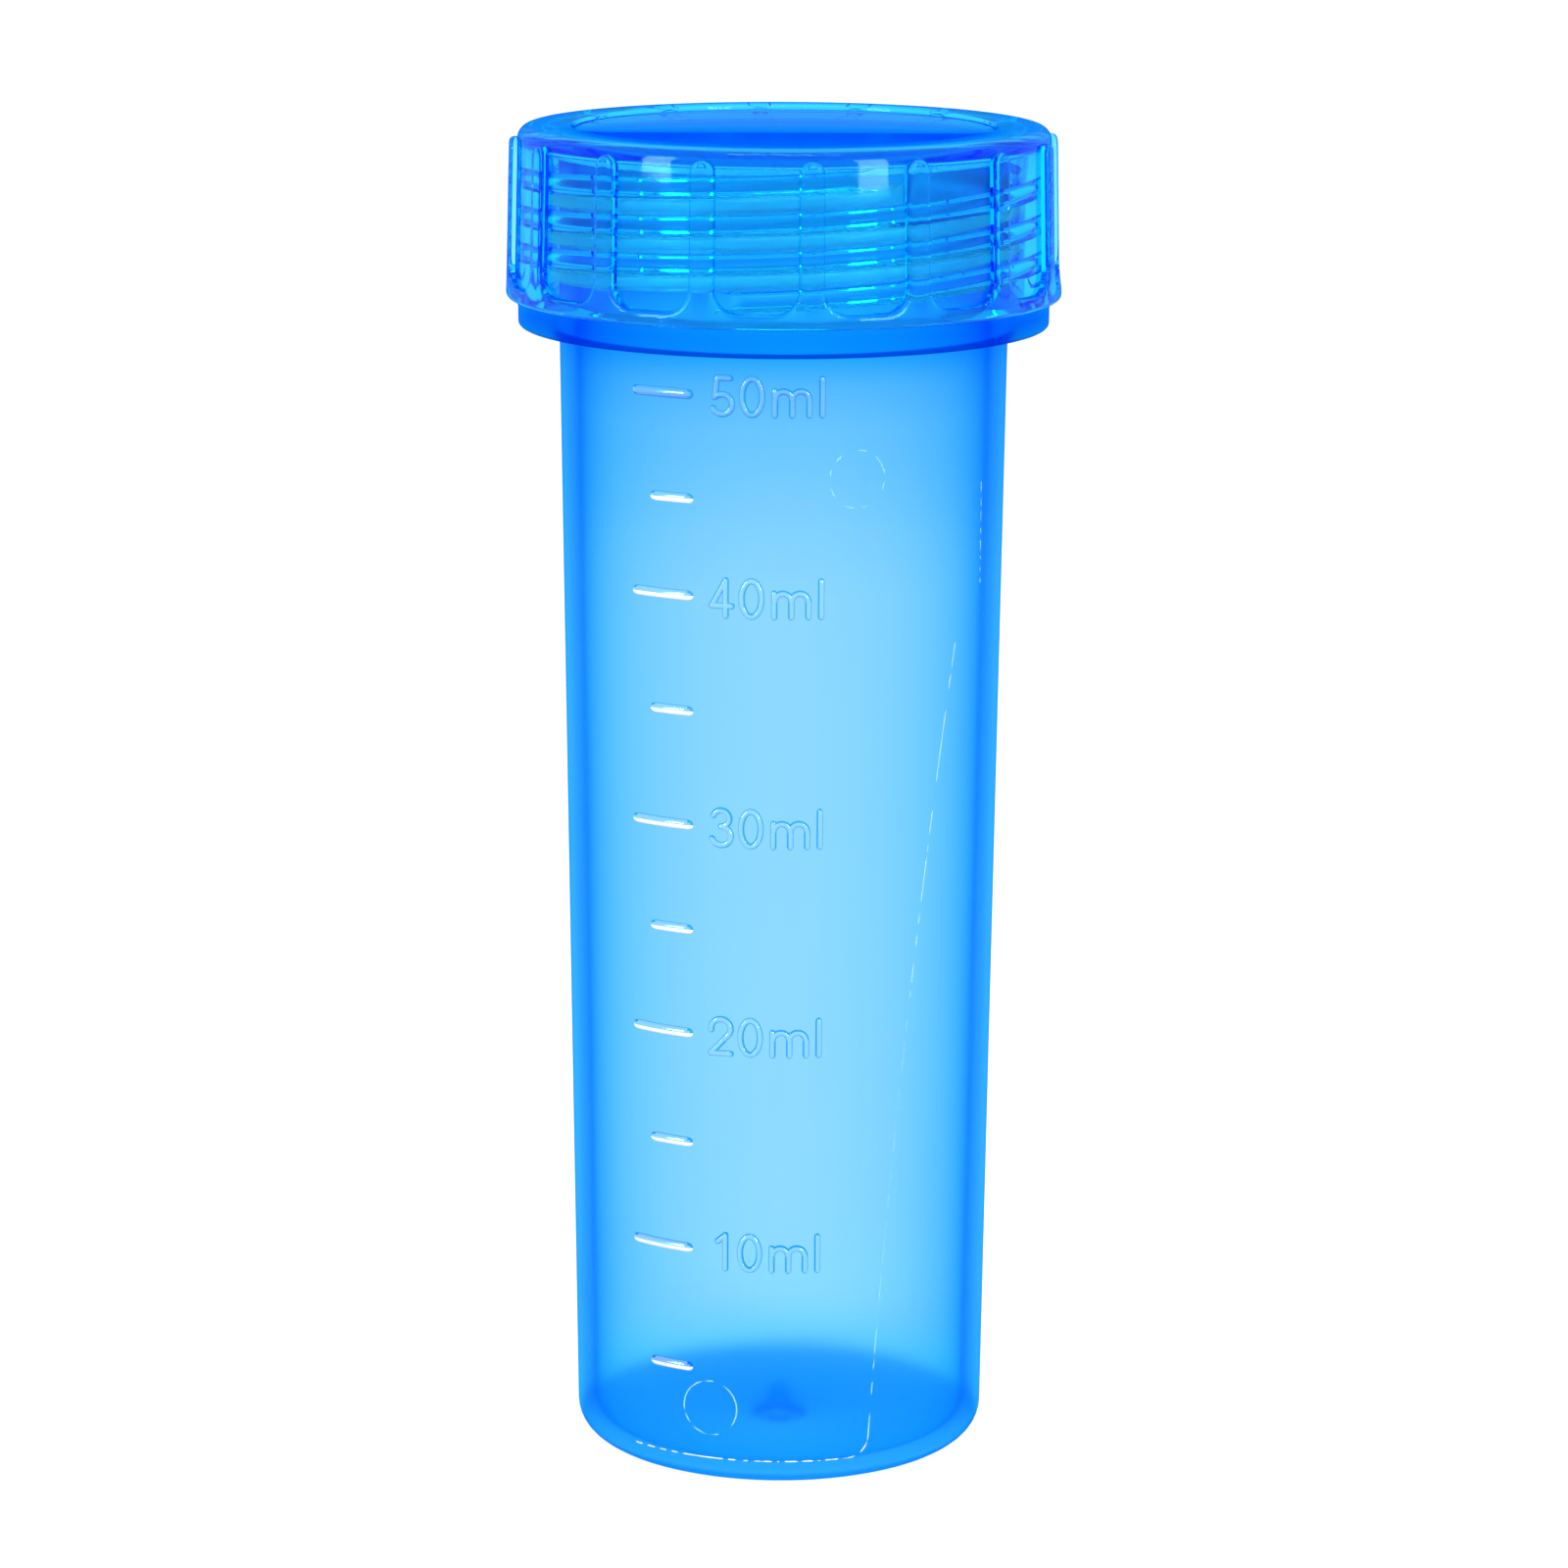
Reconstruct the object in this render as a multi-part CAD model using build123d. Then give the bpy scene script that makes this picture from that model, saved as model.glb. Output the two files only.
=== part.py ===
from build123d import *
from math import pi, sqrt
import os

# A 50 ml flat-bottomed test tube with a screw cap, standing on its base.
# The origin is the centre of the base and +Z runs up the tube. The graduations face -Y.

# Overall sizes, in millimetres
closed_height = 98.0
tube_top_radius = 16.25
tube_taper = 1.1
tube_wall = 1.5
tube_floor = 1.2
base_edge_radius = 2.0
floor_corner_radius = 1.2
rim_edge_radius = 0.3

# Gate mark where the plastic was fed in, under the middle of the base
gate_radius = 2.0
gate_depth = 0.4
gate_nub_radius = 0.8
gate_nub_height = 0.3

# Collar under the cap
collar_overhang = 3.0
collar_thickness = 1.8
collar_edge_radius = 0.3

# Screw cap
cap_height = 12.3
cap_wall = 1.7
cap_draft = 0.3
roof_thickness = 1.3
roof_rim_width = 3.9
roof_recess_depth = 0.3
top_edge_radius = 0.9
cap_inner_corner_radius = 0.4
cap_lead_in = 0.4

# Grip on the cap: a band round the bottom, with ribs standing up from it
rib_count = 16
rib_width = 1.8
rib_height = 0.6
rib_drop = 0.7
rib_edge_radius = 0.35
first_rib_angle = -84.3
band_height = 1.1
window_corner_radius = 1.7

# Sealing liner pressed into the roof of the cap
liner_thickness = 0.8
liner_edge_radius = 0.15

# Screw thread, right-handed, with more than one start
thread_starts = 2
thread_pitch = 2.65
thread_depth = 0.95
thread_root_width = 1.5
thread_crest_width = 0.7
thread_angle = 14.5
thread_root_sink = 0.2
run_out_slope = 30.0
run_out_reach = 4
neck_thread_foot = 2.3
neck_thread_head = 1.3
cap_thread_foot = 1.6
cap_thread_head = 0.9

# Clearances
thread_clearance = 0.3
collar_gap = 0.25
liner_clearance = 0.15

# Widest error in telling which edges lie on a surface
edge_tolerance = 0.01

# Raised graduations
graduation_step = 5
nominal_volume = 50
mark_height = 0.3
mark_sink = 0.2
mark_thickness = 0.6
mark_right_end = -6.2
long_mark = 4.35
short_mark = 3.1
label_left_end = -5.2
digit_height = 3.0
letter_height = 2.15
digit_width = 1.85
m_width = 2.85
stroke_width = 0.45
digit_gap = 0.25
letter_gap = 0.45
collar_margin = 2.5

# Shapes of the digits, as shares of their width and height, with arcs in degrees
one_stem = 0.75
one_flag_left = 0.35
one_flag_height = 0.8
two_bowl_start = -30
two_bowl_sweep = 190
three_upper_radius = 0.23
three_lower_radius = 0.27
three_sweep = 250
four_bar_height = 0.28
four_stem = 0.7
five_bowl_start = -155
five_bowl_sweep = 290
five_bar_left = 0.25
five_bar_right = 0.9

# Millimetres that each moulded line stands above the level worked out for its volume
line_offsets = {5: -0.75, 15: -0.15, 25: -0.25, 30: -0.4, 35: 0.2, 40: 0.9, 45: 0.35, 50: 0.35}

# Heights and radii that follow from the sizes above
tube_base_radius = tube_top_radius - tube_taper
collar_radius = tube_top_radius + collar_overhang
cap_bottom = closed_height - cap_height
roof_underside = closed_height - roof_thickness
liner_underside = roof_underside - liner_thickness
collar_top = cap_bottom - collar_gap
collar_bottom = collar_top - collar_thickness
bore_radius = tube_top_radius - tube_wall
neck_crest_radius = tube_top_radius + thread_depth
cap_crest_radius = tube_top_radius + thread_clearance
cap_bore_radius = neck_crest_radius + thread_clearance
liner_radius = cap_crest_radius - liner_clearance
skirt_top_radius = cap_bore_radius + cap_wall
skirt_bottom_radius = skirt_top_radius + cap_draft
roof_recess_radius = skirt_top_radius - roof_rim_width
thread_lead = thread_starts * thread_pitch
stroke_span = digit_width - stroke_width
stroke_rise = digit_height - stroke_width


def wall_radius(height):
    """Outer radius of the tapered wall at a height above the base."""
    share = height / collar_bottom
    return tube_base_radius + share * (tube_top_radius - tube_base_radius)


def turned(profile):
    """Solid of revolution about +Z from a closed profile in the XZ plane."""
    return revolve(profile, Axis.Z)


def section(*points):
    """Closed profile in the XZ plane through (radius, height) points."""
    return make_face(Polyline(*[(radius, 0, height) for radius, height in points], close=True))


def rounded(profile, *corners):
    """Profile with the named (radius, height, fillet radius) corners rounded."""
    for radius, height, size in corners:
        corner = profile.vertices().sort_by_distance((radius, 0, height))[0]
        profile = fillet(corner, size)
    return profile


# ---------------------------------------------------------------- screw thread

def angle_for(climb):
    """Degrees that a thread turns through in climbing this far."""
    return 360 * climb / thread_lead


def run_out(root_radius, outward, end):
    """Tool that ramps one end of a ridge down to its root; end is -1 at the start, 1 at the finish."""
    reach = run_out_reach * thread_depth
    block = Box(reach, 2 * reach, 2 * thread_root_width, align=(Align.MIN, Align.CENTER, Align.CENTER))
    lean = end * run_out_slope
    facing = lean if outward > 0 else 180 - lean
    return Pos(root_radius, 0, 0) * Rot(0, 0, facing) * block


def thread_ridge(root_radius, outward, low, high, start_angle):
    """One start of a trapezoidal ridge whose centre climbs from low to high.

    outward is 1 for a ridge standing out of a neck and -1 for one standing into a cap.
    """
    climb = high - low
    path = Helix(thread_lead, climb, root_radius)
    half_root = thread_root_width / 2
    half_crest = thread_crest_width / 2
    flank = (half_root - half_crest) / thread_depth
    sunk_half = half_root + flank * thread_root_sink
    across = Plane(origin=path @ 0, x_dir=(outward, 0, 0), z_dir=path % 0)
    profile = across * make_face(Polyline(
        (-thread_root_sink, -sunk_half),
        (thread_depth, -half_crest),
        (thread_depth, half_crest),
        (-thread_root_sink, sunk_half),
        close=True,
    ))
    ridge = sweep(profile, path, is_frenet=True)
    ridge -= run_out(root_radius, outward, -1)
    ridge -= Pos(0, 0, climb) * Rot(0, 0, angle_for(climb)) * run_out(root_radius, outward, 1)
    return Pos(0, 0, low) * Rot(0, 0, start_angle) * ridge


def thread(root_radius, outward, low, high, start_angle):
    """Every start of one thread, spread evenly round the axis."""
    return [
        thread_ridge(root_radius, outward, low, high, start_angle + start * 360 / thread_starts)
        for start in range(thread_starts)
    ]


# ------------------------------------------------------------------ graduations

def volume_to(height):
    """Volume held from the floor to a height, in millilitres."""
    low = wall_radius(tube_floor) - tube_wall
    top = wall_radius(height) - tube_wall
    return pi * (height - tube_floor) * (low * low + low * top + top * top) / 3 / 1000


def height_of(volume):
    """Height of the level that holds a volume, found by halving the span."""
    low = tube_floor
    high = 2 * closed_height
    while high - low > 0.001:
        middle = (low + high) / 2
        if volume_to(middle) < volume:
            low = middle
        else:
            high = middle
    return low


def thick(line):
    """Flat stroke of even width with round ends along a line or an arc."""
    pen = Circle(stroke_width / 2)
    return trace(line, stroke_width) + Pos(line @ 0) * pen + Pos(line @ 1) * pen


def zero():
    """An upright oval ring."""
    ring = Ellipse(digit_width / 2, digit_height / 2)
    hole = Ellipse(digit_width / 2 - stroke_width, digit_height / 2 - stroke_width)
    return Pos(stroke_span / 2, stroke_rise / 2) * (ring - hole)


def letter_m():
    """Stem, arch, stem, arch, stem."""
    arch = (m_width - stroke_width) / 4
    spring = letter_height - stroke_width - arch
    lines = [Line((0, 0), (0, spring + arch))]
    for step in (1, 3):
        lines.append(CenterArc((step * arch, spring), arch, 0, 180))
        lines.append(Line(((step + 1) * arch, 0), ((step + 1) * arch, spring)))
    return lines


def centre_lines(character):
    """Lines and arcs that a round cutter follows, from the lower left end of the character."""
    wide = stroke_span
    top = stroke_rise
    half = wide / 2
    if character == "1":
        stem = one_stem * wide
        flag = Line((one_flag_left * wide, one_flag_height * top), (stem, top))
        return [Line((stem, 0), (stem, top)), flag]
    if character == "2":
        bowl = CenterArc((half, top - half), half, two_bowl_start, two_bowl_sweep)
        return [bowl, Line(bowl @ 0, (0, 0)), Line((0, 0), (wide, 0))]
    if character == "3":
        upper = three_upper_radius * top
        lower = three_lower_radius * top
        return [
            CenterArc((half, top - upper), upper, -90, three_sweep),
            CenterArc((half, lower), lower, 90 - three_sweep, three_sweep),
        ]
    if character == "4":
        bar = four_bar_height * top
        stem = four_stem * wide
        return [Line((stem, 0), (stem, top)), Line((0, bar), (wide, bar)), Line((0, bar), (stem, top))]
    if character == "5":
        bowl = CenterArc((half, half), half, five_bowl_start, five_bowl_sweep)
        corner = (five_bar_left * wide, top)
        return [bowl, Line(bowl @ 1, corner), Line(corner, (five_bar_right * wide, top))]
    if character == "m":
        return letter_m()
    return [Line((0, 0), (0, top))]


def glyph(character):
    """Flat shape of one character."""
    if character == "0":
        return zero()
    return Sketch() + [thick(line) for line in centre_lines(character)]


def label(text, height):
    """Flat lettering with its digits centred on a height."""
    left = label_left_end + stroke_width / 2
    base = height - stroke_rise / 2
    flat = Sketch()
    for character in text:
        flat += Pos(left, base) * glyph(character)
        width = m_width if character == "m" else digit_width
        gap = letter_gap if character in "0m" else digit_gap
        left += width + gap
    return flat


def graduations():
    """Flat artwork of every line and label, drawn facing -Y."""
    flat = Sketch()
    for volume in range(graduation_step, nominal_volume + 1, graduation_step):
        height = height_of(volume) + line_offsets.get(volume, 0)
        if height > collar_bottom - collar_margin:
            continue
        labelled = volume % (2 * graduation_step) == 0
        length = long_mark if labelled else short_mark
        middle = mark_right_end - length / 2
        flat += Pos(middle, height) * SlotOverall(length, mark_thickness)
        if labelled:
            flat += label(str(volume) + "ml", height)
    return flat


# ------------------------------------------------------------------------ tube

def tube_wall_solid():
    """Base, tapered wall, collar and neck, turned as one hollow shape."""
    floor_radius = wall_radius(tube_floor) - tube_wall
    nub_top = gate_depth - gate_nub_height
    profile = section(
        (0, nub_top),
        (gate_nub_radius, nub_top),
        (gate_nub_radius, gate_depth),
        (gate_radius, gate_depth),
        (gate_radius, 0),
        (tube_base_radius, 0),
        (tube_top_radius, collar_bottom),
        (collar_radius, collar_bottom),
        (collar_radius, collar_top),
        (tube_top_radius, collar_top),
        (tube_top_radius, liner_underside),
        (bore_radius, liner_underside),
        (bore_radius, collar_bottom),
        (floor_radius, tube_floor),
        (0, tube_floor),
    )
    return turned(rounded(
        profile,
        (tube_base_radius, 0, base_edge_radius),
        (floor_radius, tube_floor, floor_corner_radius),
        (collar_radius, collar_bottom, collar_edge_radius),
        (collar_radius, collar_top, collar_edge_radius),
        (tube_top_radius, liner_underside, rim_edge_radius),
        (bore_radius, liner_underside, rim_edge_radius),
    ))


def raised_marks():
    """The graduations as thin pads standing out of the tapered wall."""
    low = base_edge_radius
    skin = turned(section(
        (wall_radius(low) - mark_sink, low),
        (wall_radius(low) + mark_height, low),
        (wall_radius(collar_bottom) + mark_height, collar_bottom),
        (wall_radius(collar_bottom) - mark_sink, collar_bottom),
    ))
    return extrude(Plane.XZ * graduations(), collar_radius) & skin


def tube():
    ridges = thread(
        tube_top_radius,
        1,
        collar_top + neck_thread_foot,
        liner_underside - neck_thread_head,
        thread_angle,
    )
    return tube_wall_solid() + ridges + raised_marks()


# ------------------------------------------------------------------- screw cap

def skirt_radius(height):
    """Outer radius of the cap between its ribs, at a height above the tube's base."""
    share = (closed_height - height) / cap_height
    return skirt_top_radius + share * cap_draft


def cap_shell():
    """Roof and skirt of the cap without its grip and thread."""
    profile = section(
        (cap_bore_radius, cap_bottom + cap_lead_in),
        (cap_bore_radius + cap_lead_in, cap_bottom),
        (skirt_bottom_radius, cap_bottom),
        (skirt_top_radius, closed_height),
        (roof_recess_radius, closed_height),
        (roof_recess_radius, closed_height - roof_recess_depth),
        (0, closed_height - roof_recess_depth),
        (0, roof_underside),
        (cap_bore_radius, roof_underside),
    )
    return turned(rounded(
        profile,
        (skirt_top_radius, closed_height, top_edge_radius),
        (cap_bore_radius, roof_underside, cap_inner_corner_radius),
    ))


def rib_outline():
    """One rib seen from outside: a round top and a foot that flares into the band."""
    half = rib_width / 2
    foot = window_corner_radius
    band_top = cap_bottom + band_height
    rib_top = closed_height - rib_drop
    turn = foot * (1 - sqrt(0.5))
    right = [
        Line((half + foot, cap_bottom), (half + foot, band_top)),
        ThreePointArc(
            (half + foot, band_top),
            (half + turn, band_top + turn),
            (half, band_top + foot),
        ),
        Line((half, band_top + foot), (half, rib_top - half)),
    ]
    crown = ThreePointArc((half, rib_top - half), (0, rib_top), (-half, rib_top - half))
    left = [mirror(line, Plane.YZ) for line in right]
    sill = Line((-half - foot, cap_bottom), (half + foot, cap_bottom))
    return make_face(right + [crown] + left + [sill])


def crest_radius(height):
    """Outer radius of the ribs and the band, at a height above the tube's base."""
    return skirt_radius(height) + rib_height


def is_window_edge(edge):
    """True for an edge on the crest surface, above the bottom of the band."""
    points = [edge @ share for share in (0, 0.5, 1)]
    return all(
        abs(sqrt(point.X ** 2 + point.Y ** 2) - crest_radius(point.Z)) < edge_tolerance
        and point.Z > cap_bottom + band_height / 2
        for point in points
    )


def grip():
    """Band and ribs, rounded along the edges of the windows between them."""
    inner = cap_bore_radius + cap_wall / 2
    beyond = crest_radius(cap_bottom) + rib_height
    rib_top = closed_height - rib_drop
    band_top = cap_bottom + band_height
    skin = turned(rounded(
        section(
            (inner, cap_bottom),
            (crest_radius(cap_bottom), cap_bottom),
            (crest_radius(rib_top), rib_top),
            (inner, rib_top),
        ),
        (crest_radius(cap_bottom), cap_bottom, rib_edge_radius),
    ))
    band = turned(section((inner, cap_bottom), (beyond, cap_bottom), (beyond, band_top), (inner, band_top)))
    rib = extrude(Plane.XZ * rib_outline(), beyond)
    pitch = 360 / rib_count
    ribs = [Rot(0, 0, first_rib_angle + 90 + step * pitch) * rib for step in range(rib_count)]
    raised = skin & (band + ribs)
    return fillet(raised.edges().filter_by(is_window_edge), rib_edge_radius)


def screw_cap():
    low = cap_bottom + cap_thread_foot
    high = roof_underside - cap_thread_head
    above_neck_thread = low - (collar_top + neck_thread_foot)
    start_angle = thread_angle + angle_for(above_neck_thread - thread_pitch / 2)
    return cap_shell() + grip() + thread(cap_bore_radius, -1, low, high, start_angle)


# --------------------------------------------------------------- sealing liner

def sealing_liner():
    disc = Cylinder(liner_radius, liner_thickness, align=(Align.CENTER, Align.CENTER, Align.MIN))
    return Pos(0, 0, liner_underside) * fillet(disc.edges().filter_by(GeomType.CIRCLE), liner_edge_radius)


# ------------------------------------------------------------------- the parts

os.makedirs("parts", exist_ok=True)
export_step(tube(), "parts/tube.step")
export_step(screw_cap(), "parts/screw_cap.step")
export_step(sealing_liner(), "parts/sealing_liner.step")
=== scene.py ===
import bpy
import bmesh
import math
import random
from mathutils import Matrix, Vector


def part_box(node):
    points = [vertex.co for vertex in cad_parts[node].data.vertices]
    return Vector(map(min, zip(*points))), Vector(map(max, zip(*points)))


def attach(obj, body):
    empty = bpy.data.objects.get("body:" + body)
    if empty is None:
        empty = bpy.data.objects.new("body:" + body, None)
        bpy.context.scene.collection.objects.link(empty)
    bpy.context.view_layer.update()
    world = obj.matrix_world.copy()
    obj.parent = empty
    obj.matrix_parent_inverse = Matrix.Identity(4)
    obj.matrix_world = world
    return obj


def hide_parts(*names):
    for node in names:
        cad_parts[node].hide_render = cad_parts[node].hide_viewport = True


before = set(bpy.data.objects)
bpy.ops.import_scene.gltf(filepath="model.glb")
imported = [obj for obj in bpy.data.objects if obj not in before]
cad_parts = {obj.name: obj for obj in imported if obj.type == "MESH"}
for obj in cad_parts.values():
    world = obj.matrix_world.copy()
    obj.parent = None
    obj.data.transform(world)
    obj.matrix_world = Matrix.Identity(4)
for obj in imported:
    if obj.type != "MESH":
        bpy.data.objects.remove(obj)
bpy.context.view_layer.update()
print("frame loaded")

mm = 0.001
fullTurn = 2 * math.pi
samePlace = 1e-6  # points nearer than this are one point
besidePlace = 1e-5  # a corner is looked for this near to its place
smoothUpTo = 32  # degrees between faces that still shade as one surface

# where the CAD says things are, in metres
_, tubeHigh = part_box("tube")
capLow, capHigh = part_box("screw_cap")
linerLow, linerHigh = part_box("sealing_liner")


# modelling helpers

def deselectAll():
    if bpy.context.object and bpy.context.object.mode != "OBJECT":
        bpy.ops.object.mode_set(mode="OBJECT")
    bpy.ops.object.select_all(action="DESELECT")


def choose(piece):
    deselectAll()
    piece.select_set(True)
    bpy.context.view_layer.objects.active = piece


def edit(piece):
    choose(piece)
    bpy.ops.object.mode_set(mode="EDIT")
    bpy.ops.mesh.select_all(action="DESELECT")


def pick(piece, kind, test):  # selects the corners, edges or faces that pass the test
    bpy.ops.mesh.select_mode(type=kind)
    bpy.ops.mesh.select_all(action="DESELECT")
    mesh = bmesh.from_edit_mesh(piece.data)
    parts = {"VERT": mesh.verts, "EDGE": mesh.edges, "FACE": mesh.faces}[kind]
    for part in parts:
        if test(part):
            part.select_set(True)
    bmesh.update_edit_mesh(piece.data)


def near(corner, place):
    return (corner.co - Vector(place)).length < besidePlace


def drawLine(name, places, closed=False):  # a wire drawn corner by corner, left in edit mode
    deselectAll()
    bpy.ops.mesh.primitive_plane_add(size=mm, location=places[0])
    piece = bpy.context.object
    piece.name = name
    bpy.ops.object.transform_apply(location=True)
    bpy.ops.object.mode_set(mode="EDIT")
    bpy.ops.mesh.select_mode(type="VERT")
    bpy.ops.mesh.select_all(action="SELECT")
    bpy.ops.mesh.merge(type="CENTER")
    for here, there in zip(places, places[1:]):
        step = Vector(there) - Vector(here)
        bpy.ops.mesh.extrude_vertices_move(TRANSFORM_OT_translate={"value": step})
    if closed:
        pick(piece, "VERT", lambda v: near(v, places[0]) or near(v, places[-1]))
        bpy.ops.mesh.edge_face_add()
    return piece


def drawSection(name, corners, closed=False):  # corners are (radius, height, rounding, segments)
    places = [(radius, 0, height) for radius, height, *_ in corners]
    piece = drawLine(name, places, closed)
    for radius, height, *rounding in corners:
        if rounding:
            pick(piece, "VERT", lambda v: near(v, (radius, 0, height)))
            bpy.ops.mesh.bevel(offset=rounding[0], segments=rounding[1], affect="VERTICES")
    return piece


def spinRound(piece, steps):
    bpy.ops.mesh.select_mode(type="VERT")
    bpy.ops.mesh.select_all(action="SELECT")
    bpy.ops.mesh.spin(steps=steps, angle=fullTurn, center=(0, 0, 0), axis=(0, 0, 1))
    closeUp(piece)


def closeUp(piece):  # welds doubles, turns faces outwards and goes back to object mode
    bpy.ops.mesh.select_mode(type="VERT")
    bpy.ops.mesh.select_all(action="SELECT")
    bpy.ops.mesh.remove_doubles(threshold=samePlace)
    bpy.ops.mesh.normals_make_consistent(inside=False)
    bpy.ops.object.mode_set(mode="OBJECT")


def turn(piece, degrees):  # about the tube's axis, kept in the mesh
    choose(piece)
    piece.rotation_euler = (0, 0, math.radians(degrees))
    bpy.ops.object.transform_apply(rotation=True)


def join(piece, other, operation="UNION"):
    change = piece.modifiers.new("cut", "BOOLEAN")
    change.operation = operation
    change.object = other
    change.solver = "MANIFOLD"
    choose(piece)
    bpy.ops.object.modifier_apply(modifier=change.name)
    bpy.data.objects.remove(other)


def smooth(piece):
    choose(piece)
    bpy.ops.object.shade_smooth_by_angle(angle=math.radians(smoothUpTo))


def report(piece):
    mesh = bmesh.new()
    mesh.from_mesh(piece.data)
    openEdges = sum(1 for edge in mesh.edges if not edge.is_manifold)
    triangles = sum(len(face.verts) - 2 for face in mesh.faces)
    mesh.free()
    print(f"{piece.name}: {triangles} triangles, {openEdges} open edges")


def finish(piece):
    smooth(piece)
    report(piece)


# screw thread

thread = {
    "starts": 2,
    "pitch": 2.65 * mm,
    "depth": 0.95 * mm,
    "root": 1.5 * mm,
    "crest": 0.7 * mm,
    "sink": 0.2 * mm,
    "crestRounding": 0.12 * mm,
    "crestSegments": 2,
    "runOut": 30,  # degrees between an end's ramp and the wall
    "endReach": 5 * mm,  # how far round from its end a ridge is cut
    "stepsPerTurn": 120,
}


def threadRidge(name, rootRadius, outward, low, high, startAngle):  # outward is 1 or -1
    lead = thread["starts"] * thread["pitch"]
    turns = (high - low) / lead
    halfRoot, halfCrest = thread["root"] / 2, thread["crest"] / 2
    sunk = halfRoot + (halfRoot - halfCrest) * thread["sink"] / thread["depth"]
    foot = rootRadius - outward * thread["sink"]
    top = rootRadius + outward * thread["depth"]
    softened = (thread["crestRounding"], thread["crestSegments"])
    ridge = drawSection(name, [
        (foot, low - sunk),
        (top, low - halfCrest, *softened),
        (top, low + halfCrest, *softened),
        (foot, low + sunk),
    ], closed=True)
    bpy.ops.object.mode_set(mode="OBJECT")
    climb = ridge.modifiers.new("climb", "SCREW")
    climb.axis = "Z"
    climb.angle = turns * fullTurn
    climb.screw_offset = high - low
    climb.steps = climb.render_steps = math.ceil(turns * thread["stepsPerTurn"])
    bpy.ops.object.modifier_apply(modifier=climb.name)
    edit(ridge)
    bpy.ops.mesh.select_mode(type="EDGE")
    bpy.ops.mesh.select_non_manifold()
    bpy.ops.mesh.edge_face_add()
    closeUp(ridge)
    edit(ridge)
    for end, angle, height in ((-1, 0, low), (1, turns * fullTurn, high)):
        lean = end * math.radians(thread["runOut"])
        facing = angle + (lean if outward > 0 else math.pi - lean)
        place = Vector((rootRadius * math.cos(angle), rootRadius * math.sin(angle), height))
        pick(ridge, "FACE", lambda f: (f.calc_center_median() - place).length < thread["endReach"]
             and abs(f.calc_center_median().z - height) < thread["root"])
        bpy.ops.mesh.bisect(
            plane_co=place,
            plane_no=(math.cos(facing), math.sin(facing), 0),
            use_fill=True,
            clear_outer=True,
        )
    closeUp(ridge)
    turn(ridge, startAngle)
    return ridge


def threadOn(piece, rootRadius, outward, low, high, startAngle):
    for start in range(thread["starts"]):
        angle = startAngle + start * 360 / thread["starts"]
        join(piece, threadRidge("ridge", rootRadius, outward, low, high, angle))


# frosted tube, with its collar and neck

tube = {
    "steps": 288,
    "topRadius": 16.25 * mm,
    "baseRadius": 15.15 * mm,
    "collarRadius": tubeHigh.x,
    "collarBottom": 83.65 * mm,
    "collarTop": 85.45 * mm,
    "rim": tubeHigh.z,
    "boreRadius": 14.75 * mm,
    "floorRadius": 13.67 * mm,
    "floor": 1.2 * mm,
    "gateRadius": 2 * mm,
    "gateDepth": 0.4 * mm,
    "gateRounding": 0.08 * mm,
    "nubRadius": 0.8 * mm,
    "nubBottom": 0.1 * mm,
    "nubRounding": 0.1 * mm,
    "bossRadius": 0.6 * mm,
    "bossHeight": 1.8 * mm,  # the gate's inner end, a small knob on the floor
    "bossRounding": 0.4 * mm,
    "bossFoot": 0.4 * mm,
    "bossFootRounding": 0.3 * mm,
    "baseRounding": 2 * mm,
    "floorRounding": 1.2 * mm,
    "wallLevels": range(4, 83, 3),  # millimetres up, where the wall has corners
    "underCollarRounding": 0.25 * mm,
    "neckFootRounding": 0.2 * mm,
    "edgeRounding": 0.3 * mm,  # of the collar and the rim
    "partingHeight": 85.02 * mm,  # where the mould halves met, on the collar
    "partingWidth": 0.05 * mm,  # half of the fine ridge they left
    "partingStand": 0.02 * mm,
    "air": 0.01 * mm,  # between the wall and the detail that stands on it
    "threadFoot": 2.3 * mm,  # from the collar up to the middle of the first ridge
    "threadHead": 1.3 * mm,
    "threadAngle": 14.5,
}


def wallRadius(height):
    share = height / tube["collarBottom"]
    return tube["baseRadius"] + share * (tube["topRadius"] - tube["baseRadius"])


def makeTube():
    bossTop, edge = tube["floor"] + tube["bossHeight"], tube["edgeRounding"]
    parting, half = tube["partingHeight"], tube["partingWidth"]
    collar = tube["collarRadius"] - tube["partingStand"]
    outside = [(wallRadius(level * mm), level * mm) for level in tube["wallLevels"]]
    body = drawSection("testTube", [
        (0, tube["nubBottom"]),
        (tube["nubRadius"], tube["nubBottom"], tube["nubRounding"], 2),
        (tube["nubRadius"], tube["gateDepth"]),
        (tube["gateRadius"], tube["gateDepth"]),
        (tube["gateRadius"], 0, tube["gateRounding"], 2),
        (tube["baseRadius"], 0, tube["baseRounding"], 10),
        *outside,
        (tube["topRadius"], tube["collarBottom"], tube["underCollarRounding"], 3),
        (collar, tube["collarBottom"], edge, 5),
        (collar, parting - half),
        (tube["collarRadius"], parting),
        (collar, parting + half),
        (collar, tube["collarTop"], edge, 4),
        (tube["topRadius"], tube["collarTop"], tube["neckFootRounding"], 2),
        (tube["topRadius"], tube["rim"], edge, 4),
        (tube["boreRadius"], tube["rim"], edge, 4),
        (tube["boreRadius"], tube["collarBottom"]),
        (tube["floorRadius"], tube["floor"], tube["floorRounding"], 6),
        (tube["bossRadius"] + tube["bossFoot"], tube["floor"], tube["bossFootRounding"], 3),
        (tube["bossRadius"], bossTop, tube["bossRounding"], 5),
        (0, bossTop),
    ])
    spinRound(body, tube["steps"])
    return body


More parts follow.
